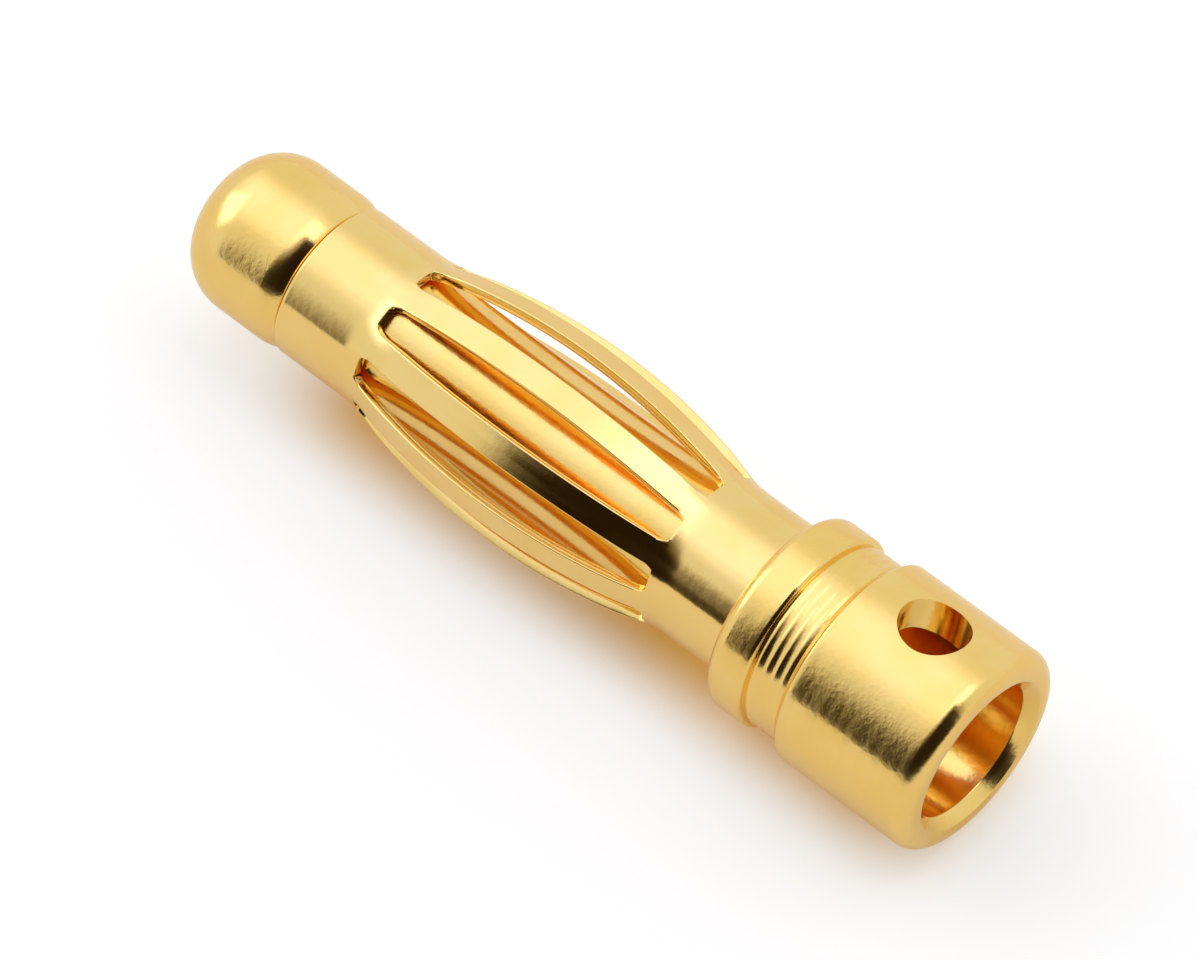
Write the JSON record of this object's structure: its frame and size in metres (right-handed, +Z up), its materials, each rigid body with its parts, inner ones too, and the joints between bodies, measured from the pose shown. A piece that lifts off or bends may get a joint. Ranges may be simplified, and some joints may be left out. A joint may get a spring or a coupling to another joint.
{
  "type": "bullet plug",
  "caption": "Gold-plated bullet plug for a battery lead: turned pin with a rounded nose, sprung bowed-strip contact cage, collar, and drilled wire cup with a solder vent.",
  "frame": {"origin": "middle of the plug's outline, on the surface it lies on", "axes": "+X along the plug towards the mouth of the wire cup, +Z up from the surface it lies on"},
  "size_m": [0.0194, 0.0044, 0.0045],
  "materials": {
    "turned_gold": "gold plate over turned brass, satin with fine turning marks",
    "sheet_gold": "gold plate over rolled spring sheet, polished"
  },
  "bodies": {
    "root": {"pin_body": "turned_gold", "contact_cage": "sheet_gold"}
  },
  "joints": []
}
